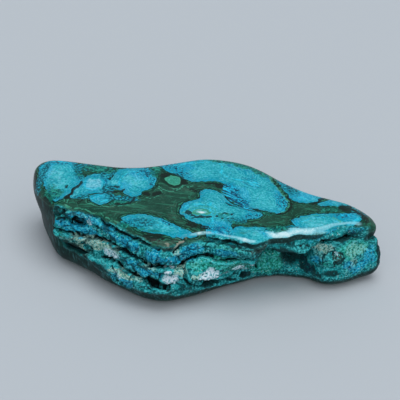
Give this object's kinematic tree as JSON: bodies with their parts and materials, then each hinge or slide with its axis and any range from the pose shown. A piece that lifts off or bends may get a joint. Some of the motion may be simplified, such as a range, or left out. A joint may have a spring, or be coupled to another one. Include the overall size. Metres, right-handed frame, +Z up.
{
  "type": "mineral specimen",
  "caption": "Free-form slab of blue-green chrysocolla with green banded malachite: flat polished top, rounded polished back, and a natural crust of ledges, holes and a knob along the front",
  "frame": {"origin": "centre of the stone's bounding box in X and Y, on the surface it rests on", "axes": "+X along the stone's length to the end with the knob, +Y to the polished back, +Z up out of the polished top"},
  "size_m": [0.2605, 0.1272, 0.054],
  "materials": {
    "stone": "polished blue-green chrysocolla and green malachite, with a rough druse crust along the front"
  },
  "bodies": {
    "root": {"polished_chrysocolla_stone": "stone"}
  },
  "joints": []
}
